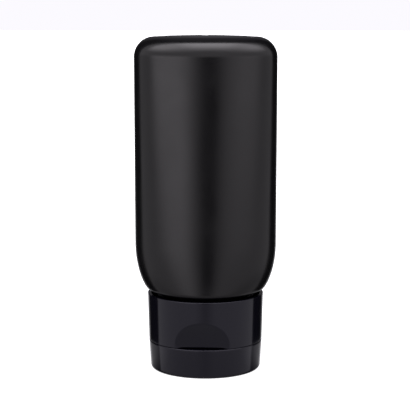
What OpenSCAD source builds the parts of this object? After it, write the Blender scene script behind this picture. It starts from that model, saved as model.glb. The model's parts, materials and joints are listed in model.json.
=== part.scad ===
// Upside-down squeeze bottle for shaving cream, standing on a wide flip-top closure.
// Millimetres, +Z up. The origin is the centre of the lid's standing face, and the thumb
// recess faces -Y. The bottle's mouth points down into the closure.

/* [Bottle] */
// Height of the whole object, standing on its lid
total_h = 141; // [136:1:150]
// Width of the body at the closed end
body_w = 60; // [57:0.5:62]
// Width of the body just above the shoulder
waist_w = 59.7; // [57:0.1:62]
// Front-to-back depth of the body at the closed end
end_depth = 36.4; // [34:0.2:44]
// Front-to-back depth where the shoulder meets the closure
shoulder_depth = 46; // [44:0.2:47]
// Radius of the rounded edge round the closed end
edge_r = 8.5; // [6:0.5:11]
// Height of the crown on the closed end
crown_h = 0.5; // [0.2:0.1:1.5]
// Height above the table where the shoulder starts to curve in
shoulder_z = 54; // [50:1:60]
// Thickness of the blown wall
wall = 1.05; // [0.8:0.05:1.5]

/* [Neck] */
// Diameter of the neck behind its thread
neck_d = 35; // [34.6:0.1:35.2]
// Diameter over the neck's thread
thread_d = 37.4; // [37:0.1:37.5]
// Diameter of the mouth's bore
bore_d = 31.4; // [30:0.1:31.8]
// Height of the mouth's sealing face
mouth_z = 18.7; // [18.5:0.1:19.2]
// Axial advance of the thread in one turn
thread_pitch = 4.2333; // [4.2333]
// Turns of thread on the neck
thread_turns = 1.5; // [1:0.25:1.5]

/* [Closure] */
// Outer diameter at the closure's rim, next to the bottle
rim_d = 49.1; // [48.4:0.1:49.5]
// Outer diameter at the parting line between closure and lid
seam_d = 48.1; // [47.6:0.1:48.3]
// Height of the closure's rim
rim_z = 32.4; // [32:0.1:32.6]
// Height of the parting line
seam_z = 12.4; // [12.2:0.1:12.6]
// Gap along the parting line
seam_gap = 0.3; // [0.2:0.05:0.4]
// Thickness of the moulded walls
skin = 1.4; // [1.3:0.1:1.6]
// Half-width of the thumb recess at the parting line
recess_half_w = 11.4; // [10:0.1:11.8]
// Height of the thumb recess above the parting line
recess_h = 11; // [9:0.1:12]
// Radius of the recess's scoop, as seen from the side
scoop_r = 22.5; // [21:0.5:26]
// Radius of the dispensing orifice
orifice_r = 3.2; // [3:0.1:3.6]

/* [Lid] */
// Radius of the lid just above its rounded lower edge
lid_low_r = 23.35; // [23:0.05:23.5]
// Radius of the shallow dish under the lid
dish_r = 16; // [12:0.5:18]
// Depth of that dish
dish_depth = 0.4; // [0.2:0.1:0.6]

/* [Hinge] */
// Distance of the hinge line behind the closure's axis
hinge_y = 23.1; // [23:0.1:23.3]
// Half-width of the hinge pocket
pocket_half_w = 8.6; // [8:0.1:9]
// Thickness of the film that folds
film_t = 0.4; // [0.3:0.05:0.5]

/* [Hidden] */

$fn = 96;

// How far a piece reaches into the one that it is moulded in one with, and a cut past a face
join = 0.2;
past = 1;

// Bottle: body
around = 48;
fillet_start_z = total_h - crown_h - edge_r;
edge_sweep = 86;
shoulder_drop = 23.4;
shoulder_inset = 10.8;
shoulder_bottom_z = 34.5;
depth_power = 1.1;

// Bottle: rounded corner under the shoulder, as height above underside_z, half-width, half-depth
underside_z = 33.4;
underside_corner = [[-0.35, 21.2, 20.7], [0, 23.1, 21.9], [0.3, 23.8, 22.55]];
inner_corner = [[-1.5, bore_d / 2, bore_d / 2], [0.4, bore_d / 2 + 0.8, bore_d / 2 + 0.8],
                [wall, 21, 20.3]];

// Bottle: neck
mouth_chamfer = 0.4;
neck_root_r = 1.6;
neck_root_z = underside_z - 2.3;
neck_root_end = 96;
thread_depth = (thread_d - neck_d) / 2;
thread_z = mouth_z + 1.8;
thread_crest_half = 0.35;
thread_base_half = 0.95;
thread_margin = 1.1;
thread_rings = 20;
thread_fade = 25;

// Closure thread, sleeve and panel
cavity_r = thread_d / 2 + 0.3;
sleeve_r = cavity_r + skin;
sleeve_top_z = rim_z - 0.8;
ring_t = 0.8;
ring_r = neck_d / 2 + 1.1;
panel_top_z = mouth_z - ring_t;
panel_t = 1.5;
panel_z = panel_top_z - panel_t;
cap_thread_offset = 1.6;
cap_thread_ribs = 12;
cap_rib_step = 36;
cap_rib_arc = 27;
cap_rib_start = 4;
cap_crest_half = 0.3;
cap_base_half = 0.8;
cap_thread_root = 0.5;

// Parting line
base_z = seam_z + seam_gap / 2;
lid_z = seam_z - seam_gap / 2;
rim_r = rim_d / 2;
seam_r = seam_d / 2;
skirt_fillet = 0.25;
rim_fillet = 0.2;
collar_r = 21.9;
collar_inner_r = sleeve_r - 0.4;
collar_z = seam_z - 0.95;
flange_t = 1.45;
recess_wall = 1;
recess_wall_r = seam_r - 0.2;
nozzle_z = 11.1;
nozzle_tip_r = 5.4;
nozzle_tip_fillet = 0.5;
nozzle_root_r = 7.4;
funnel_z = nozzle_z + 2.8;
funnel_r = 7.8;

// Lid
lid_floor_z = 1.6;
lid_edge_r = 1.5;
lid_edge_end = -4;
standing_r = lid_low_r - lid_edge_r;
dish_slope = 1;
lid_rim_fillet = 0.3;
lid_inner_r = 22.35;
lid_inner_taper = 0.4;
lid_floor_chamfer = 0.8;
plug_z = 12.5;
plug_root_r = 3;
plug_tip_r = 2.75;
plug_bore_r = 1.8;
plug_bore_z = lid_floor_z + 0.5;
ledge_t = 1.5;
ledge_inset = 0.4;
ledge_r = seam_r - 0.8;

// Hinge pocket, ears and bands
pocket_y = 22;
pocket_wall = 1;
pocket_cut = 4;
pocket_block_r = seam_r - 0.4;
pocket_top_z = 15.7;
pocket_low_z = 8.9;
lid_lining_z = collar_z - 0.35;
film_half_h = 1;
film_x = 4.6;
film_w = 3.6;
film_groove_r = 0.55 * film_t;
strap_half_w = 3.2;
strap_half_h = 2.3;
strap_t = 0.55;
strap_bow = 0.25;
ear_root = 0.5;
strap_ear_y = hinge_y + 0.4;

// Colours
bottle_color = [0.055, 0.052, 0.058];
closure_color = [0.06, 0.058, 0.063];
band_color = [0.07, 0.068, 0.073];
foam_color = [0.85, 0.85, 0.82];

function clamp01(v) = max(0, min(1, v));

// Points of an arc, from angle a0 to a1
function arc(cx, cy, r, a0, a1, steps) =
    [for (i = [0:steps]) let(a = a0 + (a1 - a0) * i / steps) [cx + r * cos(a), cy + r * sin(a)]];

// Half-width of the body at height z, before the closed end's rounded edge
function half_width(z) =
    z > shoulder_z
        ? waist_w / 2 + (body_w - waist_w) / 2 * (z - shoulder_z) / (fillet_start_z - shoulder_z)
        : waist_w / 2 - shoulder_inset * (1 - sqrt(1 - pow((shoulder_z - z) / shoulder_drop, 2)));

// Half-depth of the body at height z
function half_depth(z) =
    end_depth / 2 + (shoulder_depth - end_depth) / 2
        * pow((fillet_start_z - z) / (fillet_start_z - shoulder_bottom_z), depth_power);

// How far the thread's ridge stands out of the neck at angle a and height z
function ridge_at(a, z, turn) =
    let(run = 360 * turn + a,
        off = abs(z - thread_z - thread_pitch * run / 360),
        side = clamp01((thread_base_half - off) / (thread_base_half - thread_crest_half)),
        fade = clamp01(run / thread_fade) * clamp01((360 * thread_turns - run) / thread_fade))
    thread_depth * side * fade;
function ridge(a, z) = max(ridge_at(a, z, 0), ridge_at(a, z, 1));

// One ring of the loft: an ellipse, with the thread's ridge where the ring crosses it
function ring(z, rx, ry, threaded = false) =
    [for (i = [0:around - 1])
        let(a = 360 * i / around, out = threaded ? ridge(a, z) : 0)
        [(rx + out) * cos(a), (ry + out) * sin(a), z]];

// Rings of one side of the shell, from the shoulder to the closed end, inset by t
function body_rings(t, shoulder_steps, body_steps, edge_steps, crown_steps) = concat(
    [for (i = [0:shoulder_steps - 1])
        let(z = shoulder_bottom_z + (shoulder_z - shoulder_bottom_z) * i / shoulder_steps)
        ring(z, half_width(z) - t, half_depth(z) - t)],
    [for (i = [0:body_steps - 1])
        let(z = shoulder_z + (fillet_start_z - shoulder_z) * i / body_steps)
        ring(z, half_width(z) - t, half_depth(z) - t)],
    [for (i = [0:edge_steps])
        let(a = edge_sweep * i / edge_steps, in = edge_r - (edge_r - t) * cos(a))
        ring(fillet_start_z + (edge_r - t) * sin(a), body_w / 2 - in, end_depth / 2 - in)],
    [for (i = [1:crown_steps])
        let(f = 1 - i / (crown_steps + 1))
        ring(fillet_start_z + edge_r - t + crown_h * (1 - f * f),
             (body_w / 2 - edge_r) * f, (end_depth / 2 - edge_r) * f)]);

thread_low_z = thread_z - thread_margin;
thread_high_z = thread_z + thread_pitch * thread_turns + thread_margin;
neck_root = arc(neck_d / 2 + neck_root_r, neck_root_z, neck_root_r, 180, neck_root_end, 4);
outer_rings = concat(
    [ring(mouth_z, neck_d / 2 - mouth_chamfer, neck_d / 2 - mouth_chamfer),
     ring(mouth_z + mouth_chamfer, neck_d / 2, neck_d / 2)],
    [for (i = [0:thread_rings])
        ring(thread_low_z + (thread_high_z - thread_low_z) * i / thread_rings,
             neck_d / 2, neck_d / 2, true)],
    [for (p = neck_root) ring(p[1], p[0], p[0])],
    [for (c = underside_corner) ring(underside_z + c[0], c[1], c[2])],
    body_rings(0, 8, 7, 8, 3));
inner_rings = concat(
    [ring(mouth_z, bore_d / 2, bore_d / 2)],
    [for (c = inner_corner) ring(underside_z + c[0], c[1], c[2])],
    body_rings(wall, 7, 4, 5, 2));

// A closed skin over a stack of rings that starts and ends at a pole
module loft(rings, first_pole, last_pole) {
    n = len(rings);
    points = concat([first_pole], [for (r = rings) each r], [last_pole]);
    last = len(points) - 1;
    faces = concat(
        [for (j = [0:around - 1]) [0, 1 + (j + 1) % around, 1 + j]],
        [for (i = [0:n - 2], j = [0:around - 1])
            let(a = 1 + i * around + j, b = 1 + i * around + (j + 1) % around)
            each [[a, b, b + around], [a, b + around, a + around]]],
        [for (j = [0:around - 1])
            [last, 1 + (n - 1) * around + j, 1 + (n - 1) * around + (j + 1) % around]]);
    polyhedron(points, [for (f = faces) [f[2], f[1], f[0]]], convexity = 6);
}

module bottle() {
    // Down the inside from the closed end to the mouth, then up the outside
    inside = [for (i = [len(inner_rings) - 1:-1:0]) inner_rings[i]];
    color(bottle_color)
    loft(concat(inside, outer_rings),
         [0, 0, fillet_start_z + edge_r - wall + crown_h],
         [0, 0, fillet_start_z + edge_r + crown_h]);
}

module sealing_ring() {
    color(foam_color)
    translate([0, 0, panel_top_z])
    difference() {
        cylinder(h = ring_t, r = ring_r);
        translate([0, 0, -past]) cylinder(h = ring_t + 2 * past, r = bore_d / 2);
    }
}

// The thread inside the closure, an interrupted one: separate ribs set along the helix
module cap_thread() {
    crest_r = cavity_r - thread_depth;
    root_r = cavity_r + cap_thread_root;
    for (i = [0:cap_thread_ribs - 1]) {
        start = cap_rib_step * i + cap_rib_start;
        rotate([0, 0, start])
        translate([0, 0, thread_z + cap_thread_offset
                         + thread_pitch * (start + cap_rib_arc / 2) / 360])
        rotate_extrude(angle = cap_rib_arc)
        polygon([[root_r, -cap_base_half], [cavity_r, -cap_base_half],
                 [crest_r, -cap_crest_half], [crest_r, cap_crest_half],
                 [cavity_r, cap_base_half], [root_r, cap_base_half]]);
    }
}

// Outer profile of the closure's skirt, as radius over height
function skirt_r(z) = seam_r + (rim_r - seam_r) * (z - base_z) / (rim_z - base_z);

// Solid whose near side is the scoop of the thumb recess, grown by t: a lying cylinder in front
// of the closure, through the recess's lower edge at the seam and its highest point on the skirt
module recess_form(t = 0) {
    low = [-sqrt(seam_r * seam_r - recess_half_w * recess_half_w), seam_z];
    high = [-skirt_r(seam_z + recess_h), seam_z + recess_h];
    chord = high - low;
    rise = sqrt(scoop_r * scoop_r / (chord * chord) - 0.25);
    centre = (low + high) / 2 + rise * [-chord[1], chord[0]];
    translate([0, centre[0], centre[1]])
    rotate([0, 90, 0])
    cylinder(h = 2 * seam_r, r = scoop_r + t, center = true);
}

module skirt() {
    rotate_extrude()
    polygon(concat(
        [[skirt_r(base_z) - skin, base_z]],
        arc(skirt_r(base_z) - skirt_fillet, base_z + skirt_fillet, skirt_fillet, -90, 0, 3),
        arc(rim_r - rim_fillet, rim_z - rim_fillet, rim_fillet, 0, 90, 4),
        [[rim_r - skin, rim_z]]));
}

module collar_and_flange() {
    difference() {
        union() {
            translate([0, 0, base_z]) cylinder(h = flange_t, r = skirt_r(base_z) - skin / 2);
            translate([0, 0, collar_z]) cylinder(h = panel_top_z - collar_z, r = collar_r);
        }
        translate([0, 0, collar_z - past]) cylinder(h = rim_z, r = collar_inner_r);
    }
}

module sleeve() {
    translate([0, 0, panel_z]) cylinder(h = sleeve_top_z - panel_z, r = sleeve_r);
}

module nozzle() {
    rotate_extrude()
    polygon(concat(
        [[0, nozzle_z]],
        arc(nozzle_tip_r - nozzle_tip_fillet, nozzle_z + nozzle_tip_fillet, nozzle_tip_fillet,
            -90, 0, 4),
        [[nozzle_root_r, panel_z + join], [0, panel_z + join]]));
}

module hinge_pocket_block(z0, z1) {
    intersection() {
        translate([-pocket_half_w - pocket_wall, pocket_y - pocket_wall, z0])
            cube([2 * (pocket_half_w + pocket_wall), pocket_cut, z1 - z0]);
        cylinder(h = rim_z, r = pocket_block_r);
    }
}

// Ears that hold the films and the strap, on the side of the pocket between z0 and z1
module hinge_ears(film_z0, film_z1, strap_z0, strap_z1) {
    back_y = pocket_y - ear_root;
    for (s = [-1, 1])
        translate([s * (film_x + film_w / 2) - film_w / 2, back_y, film_z0])
            cube([film_w, hinge_y - back_y, film_z1 - film_z0]);
    translate([-strap_half_w, back_y, strap_z0])
        cube([2 * strap_half_w, strap_ear_y - back_y, strap_z1 - strap_z0]);
}

module thread_cavity() {
    translate([0, 0, panel_top_z]) cylinder(h = rim_z, r = cavity_r);
}

// Skirt, collar and flange, with the wall that lines the recess and the hinge pocket
module closure_outside() {
    difference() {
        union() {
            skirt();
            collar_and_flange();
            intersection() {
                recess_form(recess_wall);
                translate([0, 0, base_z]) cylinder(h = rim_z - base_z, r = recess_wall_r);
            }
        }
        recess_form();
        thread_cavity();
    }
}

// Threaded sleeve, sealing panel and nozzle
module closure_inside() {
    difference() {
        union() {
            sleeve();
            nozzle();
        }
        thread_cavity();
        // orifice and the funnel above it
        translate([0, 0, nozzle_z - past]) cylinder(h = panel_top_z, r = orifice_r);
        translate([0, 0, funnel_z])
            cylinder(h = panel_top_z - funnel_z, r1 = orifice_r, r2 = funnel_r);
    }
}

module cap_base() {
    color(closure_color) {
        difference() {
            union() {
                closure_outside();
                hinge_pocket_block(base_z, pocket_top_z + pocket_wall);
            }
            translate([-pocket_half_w, pocket_y, base_z - past])
                cube([2 * pocket_half_w, pocket_cut, pocket_top_z - base_z + past]);
        }
        closure_inside();
        cap_thread();
        hinge_ears(seam_z + film_half_h, pocket_top_z + join,
                   seam_z + strap_half_h, pocket_top_z + join);
    }
}

// Shelf behind the lid's front edge, under the recess, which the thumb pushes
module thumb_ledge() {
    intersection() {
        recess_form(-ledge_inset);
        translate([0, 0, lid_z - ledge_t]) cylinder(h = ledge_t, r = ledge_r);
    }
}

module lid() {
    floor_r = lid_inner_r - lid_inner_taper;
    color(closure_color) {
        difference() {
            union() {
                rotate_extrude()
                polygon(concat(
                    [[0, dish_depth], [dish_r - dish_slope, dish_depth], [dish_r, 0]],
                    arc(standing_r, lid_edge_r, lid_edge_r, -90, lid_edge_end, 6),
                    arc(seam_r - lid_rim_fillet, lid_z - lid_rim_fillet, lid_rim_fillet,
                        0, 90, 3),
                    [[lid_inner_r, lid_z], [floor_r, lid_floor_z + lid_floor_chamfer],
                     [floor_r - lid_floor_chamfer, lid_floor_z], [0, lid_floor_z]]));
                hinge_pocket_block(pocket_low_z - pocket_wall, lid_lining_z);
                thumb_ledge();
            }
            translate([-pocket_half_w, pocket_y, pocket_low_z])
                cube([2 * pocket_half_w, pocket_cut, lid_z - pocket_low_z + past]);
        }
        difference() {
            translate([0, 0, lid_floor_z - join])
                cylinder(h = plug_z - lid_floor_z + join, r1 = plug_root_r, r2 = plug_tip_r);
            translate([0, 0, plug_bore_z]) cylinder(h = plug_z, r = plug_bore_r);
        }
        hinge_ears(pocket_low_z - join, seam_z - film_half_h,
                   pocket_low_z - join, seam_z - strap_half_h);
    }
}

// A strip that folds in its round groove, whose centre line is the hinge's axis
module hinge_film(side) {
    x = side * (film_x + film_w / 2);
    color(band_color)
    difference() {
        translate([x - film_w / 2, hinge_y - film_t, seam_z - film_half_h])
            cube([film_w, film_t, 2 * film_half_h]);
        translate([x, hinge_y, seam_z])
            rotate([0, 90, 0])
            cylinder(h = film_w + 2 * past, r = film_groove_r, center = true);
    }
}

module hinge_film_left() { hinge_film(-1); }
module hinge_film_right() { hinge_film(1); }

// The bowed strap that snaps the lid open and shut
module hinge_strap() {
    bow_r = (strap_half_h * strap_half_h + strap_bow * strap_bow) / (2 * strap_bow);
    half_a = asin(strap_half_h / bow_r);
    bow_y = strap_ear_y + strap_bow - bow_r;
    color(band_color)
    translate([-strap_half_w, 0, seam_z])
    rotate([90, 0, 90])
    linear_extrude(2 * strap_half_w)
    polygon(concat(
        arc(bow_y, 0, bow_r, -half_a, half_a, 10),
        arc(bow_y - strap_t, 0, bow_r, half_a, -half_a, 10)));
}

bottle();
sealing_ring();
cap_base();
lid();
hinge_film_left();
hinge_film_right();
hinge_strap();
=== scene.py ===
"""Looks for an upside-down squeeze bottle of shaving cream on a wide flip-top closure.

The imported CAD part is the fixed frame. Smooth, finely meshed pieces stand for its nodes. Sizes
below are in millimetres, as in the CAD source, and become metres where a mesh is written.
Angles are in degrees. -Y is the front, with the thumb recess; the hinge is at the back.
"""

import json
import math

import bmesh
import bpy
import numpy as np
from mathutils import Matrix, Vector


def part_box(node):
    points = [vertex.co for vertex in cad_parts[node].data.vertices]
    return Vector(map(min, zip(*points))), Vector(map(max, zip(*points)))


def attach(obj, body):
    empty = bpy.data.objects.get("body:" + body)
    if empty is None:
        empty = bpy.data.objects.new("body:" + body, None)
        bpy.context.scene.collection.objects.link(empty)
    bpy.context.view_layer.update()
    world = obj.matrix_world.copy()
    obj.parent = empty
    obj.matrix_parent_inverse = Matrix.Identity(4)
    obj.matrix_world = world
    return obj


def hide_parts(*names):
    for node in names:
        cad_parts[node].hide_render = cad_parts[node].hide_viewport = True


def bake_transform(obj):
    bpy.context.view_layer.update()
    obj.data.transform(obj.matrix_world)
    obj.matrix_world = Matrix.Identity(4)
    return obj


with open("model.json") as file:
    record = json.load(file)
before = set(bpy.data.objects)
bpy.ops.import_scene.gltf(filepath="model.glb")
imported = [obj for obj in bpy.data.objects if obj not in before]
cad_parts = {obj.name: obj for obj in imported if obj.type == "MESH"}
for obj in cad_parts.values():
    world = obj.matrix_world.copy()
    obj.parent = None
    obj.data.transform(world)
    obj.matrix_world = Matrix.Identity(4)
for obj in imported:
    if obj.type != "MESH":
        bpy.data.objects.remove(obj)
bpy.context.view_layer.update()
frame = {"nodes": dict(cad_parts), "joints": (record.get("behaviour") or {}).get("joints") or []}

MM = 0.001


# ---------------------------------------------------------------- sizes, from the frame

def box_mm(node):
    low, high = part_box(node)
    return low / MM, high / MM


BOTTLE_LOW, BOTTLE_HIGH = box_mm("bottle")
BASE_HIGH = box_mm("cap_base")[1]
LID_HIGH = box_mm("lid")[1]
RING_LOW = box_mm("sealing_ring")[0]
HINGE = next(j for j in frame["joints"] if j["name"] == "lid_hinge")

TOTAL_H = BOTTLE_HIGH.z
BODY_W = BOTTLE_HIGH.x - BOTTLE_LOW.x
SHOULDER_DEPTH = BOTTLE_HIGH.y - BOTTLE_LOW.y
MOUTH_Z = BOTTLE_LOW.z
RIM_R = BASE_HIGH.x
RIM_Z = BASE_HIGH.z
HINGE_Y = HINGE["pos_m"][1] / MM
SEAM_Z = HINGE["pos_m"][2] / MM
SEAM_R = LID_HIGH.x
PANEL_TOP_Z = RING_LOW.z


# ---------------------------------------------------------------- sizes shared with the CAD

WAIST_W = 59.7
END_DEPTH = 36.4
DEPTH_POWER = 1.1
EDGE_R = 8.5
CROWN_H = 0.5
SHOULDER_Z = 54
SHOULDER_DROP = 23.4
SHOULDER_INSET = 10.8
SHOULDER_BOTTOM_Z = 34.5
UNDERSIDE_Z = 33.4
# (height over UNDERSIDE_Z, half-width, half-depth) round the corner under the shoulder
UNDERSIDE_CORNER = ((-0.35, 21.2, 20.7), (-0.15, 22.3, 21.45), (0, 23.05, 21.9),
                    (0.2, 23.65, 22.35), (0.45, 24.15, 22.65), (0.75, 24.62, 22.86))
WALL = 1.05
EDGE_Z = TOTAL_H - CROWN_H - EDGE_R

NECK_R = 17.5
NECK_FILLET = 1.6
NECK_TOP_Z = UNDERSIDE_Z - 2.3
BORE_R = 15.7
THREAD_R = 18.7
THREAD_PITCH = 4.2333
THREAD_TURNS = 1.5
THREAD_Z = MOUTH_Z + 1.8
THREAD_HALF_W = 0.95
THREAD_FLANK = 0.7
THREAD_FADE = 30

# The closure's thread is a row of ribs: their number, the angle from one to the next and to the
# first one's start, half the angle a rib covers, its height over the neck's thread, its section
RIBS = 12
RIB_STEP = 36
RIB_START = 4
RIB_HALF_ARC = 13.5
RIB_OFFSET = 1.6
RIB_HALF_W = 0.8
RIB_FLANK = 0.5
RIB_FADE = 1.2

CAVITY_R = THREAD_R + 0.3
SLEEVE_R = CAVITY_R + 1.4
SLEEVE_TOP_Z = RIM_Z - 0.8
PANEL_Z = PANEL_TOP_Z - 1.5
SKIN = 1.4
COLLAR_R = 21.9
COLLAR_Z = SEAM_Z - 0.95
DISH_R = SLEEVE_R - 0.4
FLANGE_TOP_Z = SEAM_Z + 1.6
RECESS_HALF_W = 11.4
RECESS_H = 11.0
SCOOP_R = 22.5
RECESS_WALL = 1.0
ORIFICE_R = 3.2
NOZZLE_Z = 11.1
NOZZLE_TIP_R = 5.4
NOZZLE_ROOT_R = 7.4
NOZZLE_FILLET = 0.8
FUNNEL_Z = NOZZLE_Z + 2.8
FUNNEL_R = 7.8

STANDING_R = 21.85
LID_EDGE_R = 1.5
LID_DISH_R = 16
LID_DISH_DEPTH = 0.4
LID_INNER_R = 22.35
LID_TAPER = 0.4
LID_FLOOR_Z = 1.6
GATE_MARK_H = 0.12
LEDGE_T = 1.5
LEDGE_INSET = 0.4
PLUG_Z = 12.5
PLUG_ROOT_R = 3.0
PLUG_TIP_R = 2.75
PLUG_BORE_R = 1.8

POCKET_Y = 22.0
POCKET_HALF_ANGLE = 21.2
POCKET_LOW_Z = 8.9
POCKET_TOP_Z = 15.7
FILM_X = 4.6
FILM_W = 3.6
FILM_T = 0.4
FILM_HALF_H = 1.0
STRAP_HALF_W = 3.2
STRAP_HALF_H = 2.3
STRAP_T = 0.55
STRAP_BOW = 0.25


# ---------------------------------------------------------------- details of the looks only

# How the pieces are meshed: columns round the axis, how far from the front the finer ones of
# the recess reach, the angle that makes an edge sharp, how far the closed end's edge turns
# before the crown takes over, and a radius that lies beyond every piece
COLUMNS = 240
RECESS_HALF_ANGLE = 31
CREASE = 32
EDGE_SWEEP = 86
BEYOND = 99.0

# The bottle's lower corner is eased in at the narrow sides, below CORNER_TOP_Z
CORNER_EASE = 0.25
CORNER_TOP_Z = 35.6
CORNER_FADE = 1.6

# Rounded edges
RIM_FILLET = 0.15
SEAM_FILLET = 0.22
PANEL_FILLET = 0.5
NOZZLE_TIP_FILLET = 0.6
ORIFICE_FILLET = 0.25
SLEEVE_FILLET = 0.3
LID_FLOOR_FILLET = 0.8
PLUG_ROOT_FILLET = 0.6
PLUG_TIP_FILLET = 0.3
PLUG_BORE_FILLET = 0.2

# The slot under the recess, the films' groove, and how far the films, the strap and the blocks
# that hold them reach into what they join
RECESS_SLOT = 0.4
FILM_GROOVE = 0.22
FILM_GROOVE_W = 0.22
BAND_OVERLAP = 0.12
POCKET_WALL = 1
BLOCK_ROOT = 0.3
BLOCK_OVERLAP = 0.2
BLOCK_FILLET = 0.1

# Fine marks of moulding
SEAM_GAP = 0.14
PARTING_H = 0.06
PARTING_W = 0.16
PINCH_H = 0.12
PINCH_W = 0.35
PINCH_HALF_LENGTH = 19.0


# ---------------------------------------------------------------- small maths

def smoothstep(v):
    v = np.clip(v, 0, 1)
    return v * v * (3 - 2 * v)


def smooth_min(a, b, reach):
    """The lower of a and b, rounded off where they meet."""
    h = np.clip(reach - np.abs(a - b), 0, None) / reach
    return np.minimum(a, b) - h * h * reach / 4


def arc(cx, cz, r, start, end, steps):
    """Points (r, z) along an arc, both ends included."""
    angles = np.radians(np.linspace(start, end, steps + 1))
    return [(cx + r * math.cos(a), cz + r * math.sin(a)) for a in angles]


def line(p, q, steps):
    """Points from p to q, without p."""
    return [tuple(p[k] + (q[k] - p[k]) * i / steps for k in range(len(p)))
            for i in range(1, steps + 1)]


def wrapped(angles):
    """Angles in -180 to 180."""
    return (angles + 180) % 360 - 180


def columns(count, fine):
    """Angles round the axis: evenly spaced ones, and finer ones given as (centre, offsets)."""
    angles = list(np.arange(count) * 360 / count)
    for centre, offsets in fine:
        angles += [(centre + d) % 360 for d in offsets]
    return np.unique(np.round(angles, 4))


# ---------------------------------------------------------------- meshes from rows of points

def grid_piece(name, rows, wrap=False, first_pole=None, last_pole=None):
    """A closed mesh from rows of points that run round the axis.

    The rows close into a ring (wrap) or end in two poles. rows is (rows, columns, 3) in mm.
    """
    rows = np.asarray(rows, float)
    n_rows, n_cols, _ = rows.shape
    points = rows.reshape(-1, 3) * MM
    index = np.arange(n_rows * n_cols).reshape(n_rows, n_cols)
    upper = np.roll(index, -1, axis=0) if wrap else index[1:]
    lower = index if wrap else index[:-1]
    quads = np.stack([lower, np.roll(lower, -1, 1), np.roll(upper, -1, 1), upper], -1)
    faces = [tuple(q) for q in quads.reshape(-1, 4).tolist()]
    points = points.tolist()
    for pole, ring, flip in ((first_pole, index[0], True), (last_pole, index[-1], False)):
        if pole is None:
            continue
        points.append([c * MM for c in pole])
        centre = len(points) - 1
        around = list(zip(ring.tolist(), np.roll(ring, -1).tolist()))
        faces += [(b, a, centre) if flip else (a, b, centre) for a, b in around]
    mesh = bpy.data.meshes.new(name)
    mesh.from_pydata(points, [], faces)
    mesh.validate()
    mesh.polygons.foreach_set("use_smooth", [True] * len(mesh.polygons))
    mesh.set_sharp_from_angle(angle=math.radians(CREASE))
    piece = bpy.data.objects.new(name, mesh)
    bpy.context.scene.collection.objects.link(piece)
    return piece


def lathe_rows(angles, profile):
    """Rows for grid_piece from (radius, height) pairs, each a number or one value per column."""
    c, s = np.cos(np.radians(angles)), np.sin(np.radians(angles))
    ones = np.ones_like(angles)
    return [np.stack([r * c, r * s, z * ones], -1) for r, z in profile]


def rounded_bar(low, high, radius):
    """A bmesh of a box with rounded edges, in mm."""
    bm = bmesh.new()
    bmesh.ops.create_cube(bm, size=1)
    size = Vector(high) - Vector(low)
    centre = (Vector(high) + Vector(low)) / 2
    bmesh.ops.scale(bm, vec=size, verts=bm.verts)
    bmesh.ops.translate(bm, vec=centre, verts=bm.verts)
    bmesh.ops.bevel(bm, geom=bm.edges[:], offset=radius, segments=3, affect="EDGES",
                    profile=0.5)
    return bm


def add_bars(piece, bars):
    """Joins rounded bars, as (low, high), to a piece that they are moulded in one with."""
    joined = bmesh.new()
    joined.from_mesh(piece.data)
    for low, high in bars:
        bar = rounded_bar(low, high, BLOCK_FILLET)
        bmesh.ops.scale(bar, vec=(MM, MM, MM), verts=bar.verts)
        scrap = bpy.data.meshes.new("bar")
        bar.to_mesh(scrap)
        joined.from_mesh(scrap)
        bar.free()
        bpy.data.meshes.remove(scrap)
    joined.to_mesh(piece.data)
    joined.free()
    piece.data.polygons.foreach_set("use_smooth", [True] * len(piece.data.polygons))
    piece.data.set_sharp_from_angle(angle=math.radians(CREASE))


# ---------------------------------------------------------------- bottle

def half_width(z):
    """Half the bottle's width at height z: nearly straight sides over a rounded shoulder."""
    straight = WAIST_W / 2 + (BODY_W - WAIST_W) / 2 * (z - SHOULDER_Z) / (EDGE_Z - SHOULDER_Z)
    drop = np.clip((SHOULDER_Z - z) / SHOULDER_DROP, 0, 1)
    curved = WAIST_W / 2 - SHOULDER_INSET * (1 - np.sqrt(1 - drop ** 2))
    return np.where(z > SHOULDER_Z, straight, curved)


def half_depth(z):
    """Half the bottle's depth at height z: round at the shoulder, flatter at the closed end."""
    share = np.clip((EDGE_Z - z) / (EDGE_Z - SHOULDER_BOTTOM_Z), 0, None)
    return END_DEPTH / 2 + (SHOULDER_DEPTH - END_DEPTH) / 2 * share ** DEPTH_POWER


def thread_ridge(angles, z):
    """How far the neck's thread stands out at each angle, at height z."""
    out = np.zeros_like(angles)
    for turn in (0, 1):
        run = 360 * turn + angles
        off = np.abs(z - THREAD_Z - THREAD_PITCH * run / 360)
        side = smoothstep((THREAD_HALF_W - off) / THREAD_FLANK)
        fade = (smoothstep(run / THREAD_FADE)
                * smoothstep((360 * THREAD_TURNS - run) / THREAD_FADE))
        out = np.maximum(out, (THREAD_R - NECK_R) * side * fade)
    return out


def closed_end_profile(inset, edge_steps, crown_steps):
    """(z, half-width, half-depth) over the rounded edge and the crown of the closed end."""
    r = EDGE_R - inset
    profile = []
    for a in np.radians(np.linspace(0, EDGE_SWEEP, edge_steps + 1)):
        into = EDGE_R - r * math.cos(a)
        profile.append((EDGE_Z + r * math.sin(a), BODY_W / 2 - into, END_DEPTH / 2 - into))
    for f in np.linspace(1, 0, crown_steps + 2)[1:-1]:
        profile.append((EDGE_Z + r + CROWN_H * (1 - f * f),
                        (BODY_W / 2 - EDGE_R) * f, (END_DEPTH / 2 - EDGE_R) * f))
    return profile


def body_profile(inset, shoulder_steps, body_steps):
    """(z, half-width, half-depth) from the foot of the shoulder up to the rounded edge."""
    heights = np.concatenate([
        np.linspace(SHOULDER_BOTTOM_Z, SHOULDER_Z, shoulder_steps, endpoint=False),
        np.linspace(SHOULDER_Z, EDGE_Z, body_steps, endpoint=False)])
    return [(z, float(half_width(z)) - inset, float(half_depth(z)) - inset) for z in heights]


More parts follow.
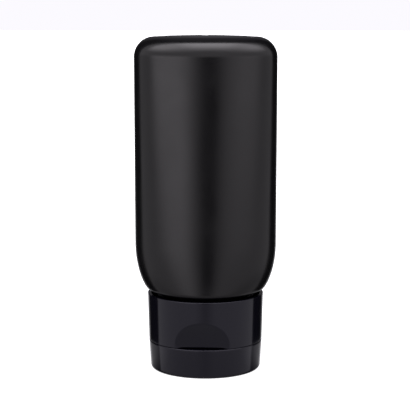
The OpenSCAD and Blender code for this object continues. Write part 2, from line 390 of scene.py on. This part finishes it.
def make_bottle():
    # finer columns along both narrow sides, for the parting lines
    fine = [d * s for d in (0.12, 0.25, 0.4, 0.6, 0.85, 1.2, 1.7) for s in (-1, 1)]
    angles = columns(COLUMNS, [(0, fine), (180, fine)])
    c, s = np.cos(np.radians(angles)), np.sin(np.radians(angles))
    underside = [(UNDERSIDE_Z + dz, a, b) for dz, a, b in UNDERSIDE_CORNER]
    neck = [(z, NECK_R, NECK_R) for z in np.arange(THREAD_Z - 1.2, NECK_TOP_Z, 0.16)]
    root = [(z, r, r)
            for r, z in arc(NECK_R + NECK_FILLET, NECK_TOP_Z, NECK_FILLET, 180, 96, 6)]
    lip = [(z, r, r) for r, z in arc(NECK_R - 0.4, MOUTH_Z + 0.4, 0.4, -90, 0, 4)]
    outer = (lip + neck + root + underside + body_profile(0, 26, 26)
             + closed_end_profile(0, 26, 12))
    inner = ([(MOUTH_Z, BORE_R + 0.2, BORE_R + 0.2), (MOUTH_Z + 0.2, BORE_R, BORE_R),
              (UNDERSIDE_Z - 1.5, BORE_R, BORE_R),
              (UNDERSIDE_Z + 0.4, BORE_R + 0.8, BORE_R + 0.8),
              (UNDERSIDE_Z + WALL, 21, 20.3)]
             + body_profile(WALL, 10, 8) + closed_end_profile(WALL, 8, 3))
    rows = []
    for z, a, b in reversed(inner):
        rows.append(np.stack([a * c, b * s, np.full_like(c, z)], -1))
    for z, a, b in outer:
        if z > UNDERSIDE_Z - 0.5:
            a -= CORNER_EASE * float(smoothstep((CORNER_TOP_Z - z) / CORNER_FADE))
        x, y, height = a * c, b * s, np.full_like(c, z)
        if z < NECK_TOP_Z:
            ridge = thread_ridge(angles, z)
            x, y = x + ridge * c, y + ridge * s
        else:
            # the two halves of the mould meet along both narrow sides
            mark = PARTING_H * np.exp(-(y / PARTING_W) ** 2) * smoothstep((EDGE_Z + 5 - z) / 5)
            x = x + mark * np.sign(c)
            # and pinch the closed end together along its middle
            along = smoothstep((PINCH_HALF_LENGTH - np.abs(x)) / 2)
            on_top = smoothstep((z - EDGE_Z - EDGE_R * 0.9) / 0.4)
            height = height + PINCH_H * np.exp(-(y / PINCH_W) ** 2) * along * on_top
        rows.append(np.stack([x, y, height], -1))
    top = EDGE_Z + EDGE_R + CROWN_H
    return grid_piece("bottle_shell", rows, first_pole=(0, 0, top - WALL),
                      last_pole=(0, 0, top - 0.001))


# ---------------------------------------------------------------- closure

def front_of(angles):
    """Angles from the middle of the front."""
    return wrapped(angles - 270)


def back_of(angles):
    """Angles from the middle of the back."""
    return wrapped(angles - 90)


def scoop_centre():
    """(y, z) of the lying cylinder that the thumb recess is scooped out with."""
    low = Vector((-math.sqrt(SEAM_R ** 2 - RECESS_HALF_W ** 2), SEAM_Z))
    high = Vector((-skirt_radius(SEAM_Z + RECESS_H), SEAM_Z + RECESS_H))
    chord = high - low
    rise = math.sqrt(SCOOP_R ** 2 / chord.length_squared - 0.25)
    return (low + high) / 2 + rise * Vector((-chord.y, chord.x))


def recess_radius(angles, z, grow=0.0):
    """Distance from the closure's axis to the scoop of the thumb recess, at each angle."""
    y, mid_z = scoop_centre()
    across = (SCOOP_R + grow) ** 2 - (z - mid_z) ** 2
    front = np.abs(front_of(angles))
    if across <= 0:
        return np.full_like(angles, BEYOND)
    wall = -y - math.sqrt(across)
    return np.where(front < 60, wall / np.cos(np.radians(np.clip(front, 0, 60))), BEYOND)


def skirt_radius(z):
    """Outer radius of the closure at height z."""
    return SEAM_R + (RIM_R - SEAM_R) * (z - SEAM_Z) / (RIM_Z - SEAM_Z)


def in_pocket(angles, z, low, high):
    """Which columns are in the hinge pocket, if z is between low and high."""
    back = np.abs(back_of(angles))
    return (back < POCKET_HALF_ANGLE) & (low < z) & (z < high)


def pocket_radius(angles, y=POCKET_Y):
    """Distance from the axis to the hinge pocket's flat wall, at each angle."""
    return y / np.cos(np.radians(np.clip(np.abs(back_of(angles)), 0, 40)))


def closure_columns():
    """Columns that are finer across the thumb recess and at the hinge pocket's two sides."""
    front = np.arange(-RECESS_HALF_ANGLE, RECESS_HALF_ANGLE + 0.01, 0.4)
    edge = POCKET_HALF_ANGLE
    back = [s * (edge + d) for s in (-1, 1) for d in (-0.6, -0.03, 0.03, 0.6)]
    return columns(COLUMNS, [(270, front), (90, back)])


def add_hinge_blocks(piece, film_z, strap_z):
    """Adds the blocks in the pocket that the films and the strap end in, by (low, high) heights."""
    near = POCKET_Y - BLOCK_ROOT
    bars = []
    for side in (-1, 1):
        x = side * (FILM_X + FILM_W / 2)
        bars.append(((x - FILM_W / 2, near, film_z[0]), (x + FILM_W / 2, HINGE_Y, film_z[1])))
    bars.append(((-STRAP_HALF_W, near, strap_z[0]), (STRAP_HALF_W, HINGE_Y + 0.4, strap_z[1])))
    add_bars(piece, bars)


def cap_thread_ridge(angles, z):
    """How far the closure's interrupted thread stands into the cavity, at height z."""
    out = np.zeros_like(angles)
    for rib in range(RIBS):
        middle = RIB_STEP * rib + RIB_START + RIB_HALF_ARC
        off = np.abs(z - THREAD_Z - RIB_OFFSET - THREAD_PITCH * middle / 360)
        around = np.abs(wrapped(angles - middle))
        side = smoothstep((RIB_HALF_W - off) / RIB_FLANK)
        length = smoothstep((RIB_HALF_ARC + 0.4 - around) / RIB_FADE)
        out = np.maximum(out, (THREAD_R - NECK_R) * side * length)
    return out


def make_closure():
    angles = closure_columns()
    base_z = SEAM_Z + SEAM_GAP / 2
    fillet = SEAM_FILLET
    in_front = smoothstep((RECESS_HALF_ANGLE - np.abs(front_of(angles))) / 5)

    def outer(z):
        r = smooth_min(skirt_radius(z), recess_radius(angles, z), 0.3)
        low = base_z - 1
        return np.where(in_pocket(angles, z, low, POCKET_TOP_Z), pocket_radius(angles), r)

    # rim: inner edge, top, outer edge
    rim_in = RIM_R - SKIN
    profile = arc(rim_in + RIM_FILLET, RIM_Z - RIM_FILLET, RIM_FILLET, 180, 90, 4)
    profile += arc(RIM_R - RIM_FILLET, RIM_Z - RIM_FILLET, RIM_FILLET, 90, 0, 5)
    # skirt, down the outside
    plain = np.linspace(RIM_Z - 0.6, SEAM_Z + RECESS_H + 0.5, 10)
    scooped = np.arange(SEAM_Z + RECESS_H + 0.2, POCKET_TOP_Z + 0.2, -0.18)
    step = [POCKET_TOP_Z + 0.03, POCKET_TOP_Z - 0.03]
    lower = np.arange(POCKET_TOP_Z - 0.2, base_z + fillet + 0.05, -0.18)
    edge = outer(base_z + fillet)
    # the recess's lower edge stands clear of the lid, which leaves a dark slot under it
    slot = RECESS_SLOT * smoothstep((skirt_radius(base_z) - edge - 0.4) / 1.0)
    for z in [*plain, *scooped, *step]:
        profile.append((outer(z), z))
    for z in lower:
        profile.append((outer(z), z + slot * (lower[0] - z) / (lower[0] - lower[-1])))
    # lower edge, and in to the collar that locates the lid
    for a in np.radians(np.linspace(0, 90, 5)):
        profile.append((edge - fillet + fillet * math.cos(a),
                        base_z + slot + fillet - fillet * math.sin(a)))
    collar_z = COLLAR_Z + (base_z + 0.05 - COLLAR_Z) * in_front
    collar_r = np.minimum(COLLAR_R, edge - fillet - 0.25)
    wall_in = np.minimum(DISH_R, recess_radius(angles, SEAM_Z + 1) - RECESS_WALL)
    inner_r = np.minimum(wall_in, collar_r - 0.4)
    profile.append((collar_r, base_z))
    profile.append((collar_r, collar_z + 0.15))
    profile.append((collar_r - 0.15, collar_z))
    profile.append((inner_r + 0.15, collar_z))
    profile.append((inner_r, collar_z + 0.15))
    # up the wall of the dish, and in along the panel
    corner = PANEL_FILLET
    for z in np.linspace(base_z + 0.4, PANEL_Z - corner, 6):
        wall = np.minimum(DISH_R, recess_radius(angles, z, RECESS_WALL))
        profile.append((np.minimum(wall, collar_r - 0.4), z))
    wall = np.minimum(DISH_R, recess_radius(angles, PANEL_Z, RECESS_WALL))
    for a in np.radians(np.linspace(0, 90, 4)):
        profile.append((wall - corner + corner * math.cos(a),
                        PANEL_Z - corner + corner * math.sin(a)))
    # nozzle: root fillet, cone, rounded tip, orifice, funnel
    root = NOZZLE_FILLET
    profile += [(NOZZLE_ROOT_R + 2.5, PANEL_Z)]
    profile += arc(NOZZLE_ROOT_R + root, PANEL_Z - root, root, 90, 165, 5)
    profile += line((NOZZLE_ROOT_R, PANEL_Z - root), (NOZZLE_TIP_R + 0.1, NOZZLE_Z + 0.8), 4)
    tip = NOZZLE_TIP_FILLET
    profile += arc(NOZZLE_TIP_R - tip, NOZZLE_Z + tip, tip, 0, -90, 6)
    lip = ORIFICE_FILLET
    profile += arc(ORIFICE_R + lip, NOZZLE_Z + lip, lip, -90, -180, 4)
    profile += line((ORIFICE_R, NOZZLE_Z + lip), (ORIFICE_R, FUNNEL_Z), 4)
    profile += line((ORIFICE_R, FUNNEL_Z), (FUNNEL_R, PANEL_TOP_Z), 4)
    # thread cavity, top of the sleeve, gap between sleeve and skirt
    profile += [(CAVITY_R, PANEL_TOP_Z)]
    for z in np.arange(PANEL_TOP_Z + 0.2, SLEEVE_TOP_Z - 0.5, 0.22):
        profile.append((CAVITY_R - cap_thread_ridge(angles, z), z))
    edge = SLEEVE_FILLET
    profile += arc(CAVITY_R + edge, SLEEVE_TOP_Z - edge, edge, 180, 90, 3)
    profile += arc(SLEEVE_R - edge, SLEEVE_TOP_Z - edge, edge, 90, 0, 3)
    gap_out = []
    for z in [*np.linspace(FLANGE_TOP_Z, SEAM_Z + RECESS_H + 1.4, 12), SLEEVE_TOP_Z]:
        wall = np.minimum(skirt_radius(z) - SKIN, recess_radius(angles, z, RECESS_WALL))
        wall = np.where(in_pocket(angles, z, 0, POCKET_TOP_Z + 1),
                        pocket_radius(angles, POCKET_Y - POCKET_WALL), wall)
        gap_out.append((np.maximum(wall, SLEEVE_R + 0.02), z))
    profile += [(np.minimum(SLEEVE_R, r - 0.01), z) for r, z in reversed(gap_out)]
    profile += gap_out
    piece = grid_piece("closure_body", lathe_rows(angles, profile)[::-1], wrap=True)
    top = POCKET_TOP_Z + BLOCK_OVERLAP
    add_hinge_blocks(piece, (SEAM_Z + FILM_HALF_H, top), (SEAM_Z + STRAP_HALF_H, top))
    return piece


# ---------------------------------------------------------------- lid

def make_lid():
    angles = closure_columns()
    top_z = SEAM_Z - SEAM_GAP / 2
    low_r = STANDING_R + LID_EDGE_R
    pocket_rim = COLLAR_Z - 0.35
    back = np.abs(back_of(angles)) < POCKET_HALF_ANGLE

    def outer(z):
        r = low_r + (SEAM_R - low_r) * (z - LID_EDGE_R) / (top_z - LID_EDGE_R)
        r = np.full_like(angles, r)
        return np.where(in_pocket(angles, z, POCKET_LOW_Z, top_z + 1), pocket_radius(angles), r)

    def height(z):
        return np.where(back, np.minimum(z, pocket_rim), z)

    def inner(z):
        r = LID_INNER_R - LID_TAPER * (top_z - z) / (top_z - LID_FLOOR_Z)
        lining = pocket_radius(angles, POCKET_Y - POCKET_WALL)
        return np.where(in_pocket(angles, z, POCKET_LOW_Z - POCKET_WALL, BEYOND),
                        np.minimum(lining, r), r)

    # gate mark and dish under the lid, then the ring that the object stands on
    gate_z = LID_DISH_DEPTH + GATE_MARK_H
    profile = [(0.3, gate_z), (0.75, gate_z - 0.02), (0.95, LID_DISH_DEPTH)]
    profile += line((0.95, LID_DISH_DEPTH), (LID_DISH_R - 1.2, LID_DISH_DEPTH), 8)
    profile += [(LID_DISH_R - 0.6, LID_DISH_DEPTH * 0.85), (LID_DISH_R - 0.3, 0.12),
                (LID_DISH_R, 0.0)]
    profile += line((LID_DISH_R, 0.0), (STANDING_R - 0.3, 0.0), 4)
    profile += arc(STANDING_R, LID_EDGE_R, LID_EDGE_R, -90, -4, 12)
    # wall, rounded rim
    fillet = SEAM_FILLET
    walls = [*np.linspace(LID_EDGE_R + 0.2, POCKET_LOW_Z - 0.4, 8), POCKET_LOW_Z - 0.03,
             POCKET_LOW_Z + 0.03, *np.linspace(POCKET_LOW_Z + 0.3, top_z - fillet, 6)]
    profile += [(outer(z), height(z)) for z in walls]
    edge = outer(top_z - fillet)
    for a in np.radians(np.linspace(0, 90, 6)[1:]):
        profile.append((edge - fillet + fillet * math.cos(a),
                        height(top_z - fillet + fillet * math.sin(a))))
    # the shelf under the thumb recess, which the thumb pushes
    shelf = np.minimum(inner(top_z), recess_radius(angles, SEAM_Z) + LEDGE_INSET)
    profile.append((np.minimum(shelf + 0.2, edge - fillet - 0.05), height(top_z)))
    profile.append((shelf, height(top_z - 0.2)))
    profile.append((shelf, height(top_z - LEDGE_T + 0.3)))
    profile.append((np.minimum(shelf + 0.3, inner(top_z - LEDGE_T)), height(top_z - LEDGE_T)))
    profile.append((inner(top_z - LEDGE_T), height(top_z - LEDGE_T)))
    for z in np.linspace(top_z - LEDGE_T - 0.4, LID_FLOOR_Z + 0.9, 10):
        profile.append((inner(z), height(z)))
    corner = LID_FLOOR_FILLET
    floor_r = LID_INNER_R - LID_TAPER - corner
    profile += arc(floor_r, LID_FLOOR_Z + corner, corner, 0, -90, 6)
    # floor, then the plug that closes the orifice
    root, tip, bore = PLUG_ROOT_FILLET, PLUG_TIP_FILLET, PLUG_BORE_FILLET
    profile += line((floor_r, LID_FLOOR_Z), (PLUG_ROOT_R + root, LID_FLOOR_Z), 8)
    profile += arc(PLUG_ROOT_R + root, LID_FLOOR_Z + root, root, -90, -172, 5)
    profile += line((PLUG_ROOT_R, LID_FLOOR_Z + 0.7), (PLUG_TIP_R + 0.02, PLUG_Z - 0.35), 8)
    profile += arc(PLUG_TIP_R - tip, PLUG_Z - tip, tip, 0, 90, 4)
    profile += arc(PLUG_BORE_R + bore, PLUG_Z - bore, bore, 90, 180, 3)
    profile += line((PLUG_BORE_R, PLUG_Z - bore), (PLUG_BORE_R, LID_FLOOR_Z + 0.9), 6)
    profile += arc(PLUG_BORE_R - 0.4, LID_FLOOR_Z + 0.9, 0.4, 0, -90, 3)
    piece = grid_piece("flip_lid", lathe_rows(angles, profile),
                       first_pole=(0, 0, gate_z),
                       last_pole=(0, 0, LID_FLOOR_Z + 0.5))
    foot = POCKET_LOW_Z - BLOCK_OVERLAP
    add_hinge_blocks(piece, (foot, SEAM_Z - FILM_HALF_H), (foot, SEAM_Z - STRAP_HALF_H))
    return piece


# ---------------------------------------------------------------- hinge bands

def make_band(name, x0, x1, half_h, thickness, centre_y, thin=0.0, bow=0.0):
    """An upright strip across the hinge line, thinned at the line, or bowed outwards."""
    rim = []
    for u in np.linspace(-1, 1, 25):
        t = thickness - thin * math.exp(-(u * half_h / FILM_GROOVE_W) ** 2)
        middle = centre_y + bow * (1 - u * u)
        rim.append((u * half_h + SEAM_Z, middle - t / 2, middle + t / 2))
    sections = []
    for z, y0, y1 in rim:
        inset = min(0.08, (y1 - y0) / 3)
        sections.append([
            (x0 + inset, y0, z), (x1 - inset, y0, z), (x1, y0 + inset, z), (x1, y1 - inset, z),
            (x1 - inset, y1, z), (x0 + inset, y1, z), (x0, y1 - inset, z), (x0, y0 + inset, z)])
    first = np.mean(sections[0], axis=0)
    last = np.mean(sections[-1], axis=0)
    return grid_piece(name, sections, first_pole=first, last_pole=last)


def make_hinge():
    """The two films and the strap, each with its CAD node and half its height."""
    bands = []
    for side, label in ((-1, "left"), (1, "right")):
        x = side * (FILM_X + FILM_W / 2)
        film = make_band(f"film_{label}", x - FILM_W / 2, x + FILM_W / 2,
                         FILM_HALF_H + BAND_OVERLAP, FILM_T, HINGE_Y - FILM_T / 2,
                         thin=FILM_GROOVE)
        bands.append((film, f"hinge_film_{label}", FILM_HALF_H))
    strap = make_band("snap_strap", -STRAP_HALF_W, STRAP_HALF_W, STRAP_HALF_H + BAND_OVERLAP,
                      STRAP_T, HINGE_Y + 0.12, bow=STRAP_BOW)
    bands.append((strap, "hinge_strap", STRAP_HALF_H))
    return bands


# ---------------------------------------------------------------- materials

# Textures, as repeats and depths in metres
FLOW_SCALE = 55.0
BROAD_SCALE = 18.0
WAVE_DEPTH = 0.0006
CELL_SCALE = 2600.0
CELL_DEPTH = 0.0001


class Nodes:
    """A short way to write a node tree."""

    def __init__(self, tree):
        self.tree = tree
        tree.nodes.clear()

    def add(self, kind, inputs=None, **settings):
        node = self.tree.nodes.new(kind)
        for key, value in settings.items():
            setattr(node, key, value)
        for key, value in (inputs or {}).items():
            if isinstance(value, bpy.types.NodeSocket):
                self.tree.links.new(value, node.inputs[key])
            else:
                node.inputs[key].default_value = value
        return node

    def maths(self, operation, *values):
        return self.add("ShaderNodeMath", dict(enumerate(values)), operation=operation).outputs[0]

    def times(self, a, b):
        return self.maths("MULTIPLY", a, b)

    def ramp(self, value, low, high, start=0.0, end=1.0):
        """start below low and end above high, straight in between."""
        return self.add("ShaderNodeMapRange", {0: value, 1: float(low), 2: float(high),
                                               3: float(start), 4: float(end)}).outputs[0]

    def window(self, value, low, high, rise, fall):
        """1 between low and high, easing over rise below low and over fall above high."""
        up = self.add("ShaderNodeMapRange", {0: value, 1: low - rise, 2: low},
                      interpolation_type="SMOOTHSTEP").outputs[0]
        down = self.add("ShaderNodeMapRange", {0: value, 1: high, 2: high + fall, 3: 1.0, 4: 0.0},
                        interpolation_type="SMOOTHSTEP").outputs[0]
        return self.times(up, down)

    def facing_camera(self, vector):
        """x, y and z of a vector, turned round the upright axis so that -y is the camera's side."""
        turned = self.add("ShaderNodeVectorRotate", {"Vector": vector,
                                                     "Angle": math.radians(-CAMERA_YAW)},
                          rotation_type="Z_AXIS").outputs[0]
        parts = self.add("ShaderNodeSeparateXYZ", {0: turned}).outputs
        return parts[0], parts[1], parts[2]

    def azimuth(self, x, y):
        """Angle round the upright axis, in radians, from -y and positive towards x."""
        return self.maths("ARCTAN2", x, self.times(y, -1.0))


def new_material(name):
    material = bpy.data.materials.new(name)
    material.use_nodes = True
    return material, Nodes(material.node_tree)


def moulded_plastic(name, dark, light, rough, grain_mm, grain_bump, wave_bump, specular, sheen,
                    rough_spread=0.05):
    """Black plastic with a fine mould texture, faint flow marks and slight changes of sheen."""
    material, n = new_material(name)
    place = n.add("ShaderNodeTexCoord").outputs["Object"]
    grain = n.add("ShaderNodeTexNoise", {"Vector": place, "Scale": 1 / (grain_mm * MM),
                                         "Detail": 3.0, "Roughness": 0.6}).outputs[0]
    flow = n.add("ShaderNodeTexNoise", {"Vector": place, "Scale": FLOW_SCALE, "Detail": 4.0,
                                        "Roughness": 0.55, "Distortion": 0.4}).outputs[0]
    broad = n.add("ShaderNodeTexNoise", {"Vector": place, "Scale": BROAD_SCALE,
                                         "Detail": 2.0}).outputs[0]
    tint = n.add("ShaderNodeMix", {0: flow, 6: (*dark, 1), 7: (*light, 1)},
                 data_type="RGBA").outputs[2]
    uneven = n.add("ShaderNodeMapRange", {0: flow, 1: 0.25, 2: 0.75, 3: rough - rough_spread,
                                          4: rough + rough_spread}).outputs[0]
    fine = n.add("ShaderNodeBump", {"Strength": grain_bump, "Distance": grain_mm * MM * 0.5,
                                    "Height": grain}).outputs[0]
    wavy = n.add("ShaderNodeBump", {"Strength": wave_bump, "Distance": WAVE_DEPTH,
                                    "Height": broad, "Normal": fine}).outputs[0]
    shader = n.add("ShaderNodeBsdfPrincipled", {
        "Base Color": tint, "Roughness": uneven, "Normal": wavy, "IOR": 1.5,
        "Specular IOR Level": specular, "Specular Tint": (*sheen, 1)})
    n.add("ShaderNodeOutputMaterial", {"Surface": shader.outputs[0]})
    return material


def foam(name):
    """Pale closed-cell foam."""
    material, n = new_material(name)
    place = n.add("ShaderNodeTexCoord").outputs["Object"]
    cells = n.add("ShaderNodeTexVoronoi", {"Vector": place, "Scale": CELL_SCALE}).outputs[0]
    tint = n.add("ShaderNodeMix", {0: cells, 6: (0.78, 0.78, 0.74, 1), 7: (0.66, 0.66, 0.62, 1)},
                 data_type="RGBA").outputs[2]
    bump = n.add("ShaderNodeBump", {"Strength": 0.5, "Distance": CELL_DEPTH,
                                    "Height": cells}).outputs[0]
    shader = n.add("ShaderNodeBsdfPrincipled", {"Base Color": tint, "Roughness": 0.85,
                                                "Normal": bump})
    n.add("ShaderNodeOutputMaterial", {"Surface": shader.outputs[0]})
    return material


def dress(piece, material):
    """Gives a piece its material."""
    piece.data.materials.clear()
    piece.data.materials.append(material)


# ---------------------------------------------------------------- camera

# Fitted to the photo: metres, degrees and millimetres of focal length
CAMERA_DISTANCE = 0.608
CAMERA_HEIGHT = 0.1572
CAMERA_PITCH = 8.1
CAMERA_YAW = 3.7
SENSOR = 36
FOCAL = 127.5
SHIFT_X = -0.0012
SHIFT_Y = -0.0061


def make_camera():
    data = bpy.data.cameras.new("camera")
    data.sensor_width = SENSOR
    data.lens = FOCAL
    data.shift_x = SHIFT_X
    data.shift_y = SHIFT_Y
    data.clip_start = 0.01
    camera = bpy.data.objects.new("camera", data)
    bpy.context.scene.collection.objects.link(camera)
    yaw = math.radians(CAMERA_YAW)
    place = Matrix.Translation((CAMERA_DISTANCE * math.sin(yaw),
                                -CAMERA_DISTANCE * math.cos(yaw), CAMERA_HEIGHT))
    turn = Matrix.Rotation(yaw, 4, "Z") @ Matrix.Rotation(math.radians(90 - CAMERA_PITCH), 4, "X")
    camera.matrix_world = place @ turn
    bpy.context.scene.camera = camera


# ---------------------------------------------------------------- floor and studio light

FLOOR_SIZE = 12
FLOOR_GLOW = 0.72
STUDIO_TINT = (0.97, 0.955, 1, 1)


def make_floor():
    """A plain pale floor. The plastic mirrors the studio instead of it."""
    bpy.ops.mesh.primitive_plane_add(size=FLOOR_SIZE, location=(0, 0, 0))
    floor = bpy.context.object
    floor.name = "floor"
    material, n = new_material("floor_paper")
    diffuse = n.add("ShaderNodeBsdfDiffuse", {"Color": (0.9, 0.9, 0.9, 1)})
    glow = n.add("ShaderNodeEmission", {"Color": (1, 1, 1, 1), "Strength": FLOOR_GLOW})
    both = n.add("ShaderNodeAddShader", {0: diffuse.outputs[0], 1: glow.outputs[0]})
    n.add("ShaderNodeOutputMaterial", {"Surface": both.outputs[0]})
    floor.data.materials.append(material)
    floor.visible_glossy = False
    floor.visible_shadow = False
    floor.visible_diffuse = False


# The studio as the plastic mirrors it. Angles round the object start at the camera and are
# positive to its right; the others are above the horizon. A ramp is (low angle, high angle,
# value below, value above).
WASH = 0.50
WASH_HALF_ANGLE = 109.0
WASH_BELOW = (-23, -17, 0.65, 1.03)
WASH_ABOVE = (3, 10, 1.0, 1.4)
KEY_LEFT = {"low": -56, "high": -33, "rise": 18, "fall": 22, "strength": 1.3}
KEY_LEFT_FOOT = (-11, 1, 0, 1)
KEY_LEFT_LEAN = (-6, -1, 14, -6)
KEY_RIGHT = {"low": 42, "high": 52, "rise": 36, "fall": 26, "strength": 0.65}
KEY_RIGHT_FOOT = (-6, 0.5, 0, 1)
KEY_HEAD = (4, 11, 1, 0)
NOTCH_ACROSS = (0, 20, 0.42, 0)
NOTCH_FOOT = (-25, -5, 0, 1)
SLIT_ACROSS = (3, 11, 0.46, 0)
SLIT_FOOT = (-9, -3, 0, 1)
NOTCH_HEAD = (3, 9, 1, 0)
TOP_BANK = {"near": -0.8, "full": -0.3, "far": 0.03, "fade": 0.03, "middle": 0.2,
            "flank": 0.15, "core": 3.7, "sides": 2.3}
TOP_BANK_FOOT = (24, 44, 0, 1)
BACK_ACROSS = (150, 160, 0, 0.5)
BACK_HEAD = (-10, -3, 1, 0.2)
AMBIENT = 0.008

# The lit floor: its radius and depth under the origin in mm, and the angles that it starts at
# and is bright from
PUDDLE_R = 62.0
PUDDLE_DROP = 0.2
PUDDLE_FROM = 60
PUDDLE_FULL = 98
PUDDLE_LEVEL = 0.3


def make_puddle():
    """Lit floor beside and behind the object, close to it, as the plastic mirrors it."""
    bpy.ops.mesh.primitive_circle_add(vertices=96, radius=PUDDLE_R * MM, fill_type="NGON",
                                      location=(0, 0, -PUDDLE_DROP * MM))
    puddle = bpy.context.object
    puddle.name = "lit_floor"
    material, n = new_material("lit_floor")
    place = n.add("ShaderNodeTexCoord").outputs["Object"]
    x, y, _ = n.facing_camera(place)
    around = n.maths("ABSOLUTE", n.azimuth(x, y))
    level = n.ramp(around, math.radians(PUDDLE_FROM), math.radians(PUDDLE_FULL),
                   0, PUDDLE_LEVEL)
    glow = n.add("ShaderNodeEmission", {"Color": STUDIO_TINT, "Strength": level})
    clear = n.add("ShaderNodeBsdfTransparent")
    both = n.add("ShaderNodeAddShader", {0: clear.outputs[0], 1: glow.outputs[0]})
    n.add("ShaderNodeOutputMaterial", {"Surface": both.outputs[0]})
    puddle.data.materials.append(material)
    puddle.visible_camera = False
    puddle.visible_diffuse = False
    puddle.visible_shadow = False
    puddle.visible_transmission = False


def make_studio():
    """The world: white to the camera, and a studio to the plastic."""
    world = bpy.data.worlds.new("studio")
    bpy.context.scene.world = world
    world.use_nodes = True
    n = Nodes(world.node_tree)
    direction = n.add("ShaderNodeTexCoord").outputs["Generated"]
    x, y, z = n.facing_camera(direction)
    degrees = 180 / math.pi
    azimuth = n.times(n.azimuth(x, y), degrees)
    elevation = n.times(n.maths("ARCSINE", z), degrees)
    off_front = n.maths("ABSOLUTE", azimuth)

    # a pale wash all round the front, which leaves the back dark
    front = n.window(azimuth, -WASH_HALF_ANGLE, WASH_HALF_ANGLE, 3, 3)
    level = n.times(n.ramp(elevation, *WASH_BELOW), n.ramp(elevation, *WASH_ABOVE))
    total = n.times(front, n.times(level, WASH))
    # a large key on the left, leaning inwards below, and a weaker one on the right
    k = KEY_LEFT
    leaned = n.maths("SUBTRACT", azimuth, n.ramp(elevation, *KEY_LEFT_LEAN))
    left = n.times(n.window(leaned, k["low"], 180, k["rise"], 1),
                   n.window(azimuth, -180, k["high"], 1, k["fall"]))
    left = n.times(n.times(left, n.ramp(elevation, *KEY_LEFT_FOOT)), k["strength"])
    k = KEY_RIGHT
    right = n.window(azimuth, k["low"], k["high"], k["rise"], k["fall"])
    right = n.times(n.times(right, n.ramp(elevation, *KEY_RIGHT_FOOT)), k["strength"])
    keys = n.times(n.maths("ADD", left, right), n.ramp(elevation, *KEY_HEAD))
    total = n.maths("ADD", total, keys)
    # the dark camera side, down the middle, and a darker slit in it
    notch = n.times(n.ramp(off_front, *NOTCH_ACROSS), n.ramp(elevation, *NOTCH_FOOT))
    slit = n.times(n.ramp(off_front, *SLIT_ACROSS), n.ramp(elevation, *SLIT_FOOT))
    notch = n.times(n.maths("ADD", notch, slit), n.ramp(elevation, *NOTCH_HEAD))
    total = n.maths("MAXIMUM", n.maths("SUBTRACT", total, notch), 0.0)
    # the bank overhead, brighter towards its middle and its far edge
    k = TOP_BANK
    climb = n.times(n.ramp(y, k["near"], k["full"]), n.ramp(elevation, *TOP_BANK_FOOT))
    far = n.ramp(y, k["far"] - k["fade"], k["far"] + k["fade"], 1, 0)
    middle = n.ramp(n.maths("ABSOLUTE", x), k["middle"], k["middle"] + k["flank"],
                    k["core"], k["sides"])
    total = n.maths("ADD", total, n.times(n.times(climb, far), middle))
    # a weak strip behind, for whoever looks from there
    behind = n.times(n.ramp(off_front, *BACK_ACROSS), n.ramp(elevation, *BACK_HEAD))
    total = n.maths("ADD", n.maths("ADD", total, behind), AMBIENT)
    seen = n.add("ShaderNodeLightPath").outputs["Is Camera Ray"]
    level = n.add("ShaderNodeMix", {0: seen, 2: total, 3: 1.0}).outputs[0]
    shader = n.add("ShaderNodeBackground", {"Color": STUDIO_TINT, "Strength": level})
    n.add("ShaderNodeOutputWorld", {"Surface": shader.outputs[0]})


# ---------------------------------------------------------------- putting it together

bpy.context.scene.view_settings.view_transform = "Standard"
make_camera()

satin = moulded_plastic("bottle_satin", (0.0036, 0.0034, 0.004), (0.0046, 0.0044, 0.005),
                        rough=0.2, grain_mm=0.16, grain_bump=0.1, wave_bump=0.03, specular=0.5,
                        sheen=(1, 0.965, 0.975))
polished = moulded_plastic("closure_polished", (0.0028, 0.0026, 0.0052), (0.0038, 0.0035, 0.0066),
                           rough=0.12, grain_mm=0.3, grain_bump=0.03, wave_bump=0.01,
                           specular=0.54, sheen=(0.9, 0.875, 1), rough_spread=0.03)
pale_foam = foam("ring_foam")

bottle = make_bottle()
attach(bottle, "bottle")
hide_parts("bottle")
dress(bottle, satin)

closure = make_closure()
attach(closure, "closure")
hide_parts("cap_base")
dress(closure, polished)

lid = make_lid()
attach(lid, "lid")
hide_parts("lid")
dress(lid, polished)

for band, node, half_h in make_hinge():
    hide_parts(node)
    dress(band, polished)
    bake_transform(band)

frame["nodes"]["sealing_ring"].data.materials.clear()
frame["nodes"]["sealing_ring"].data.materials.append(pale_foam)

make_floor()
make_puddle()
make_studio()
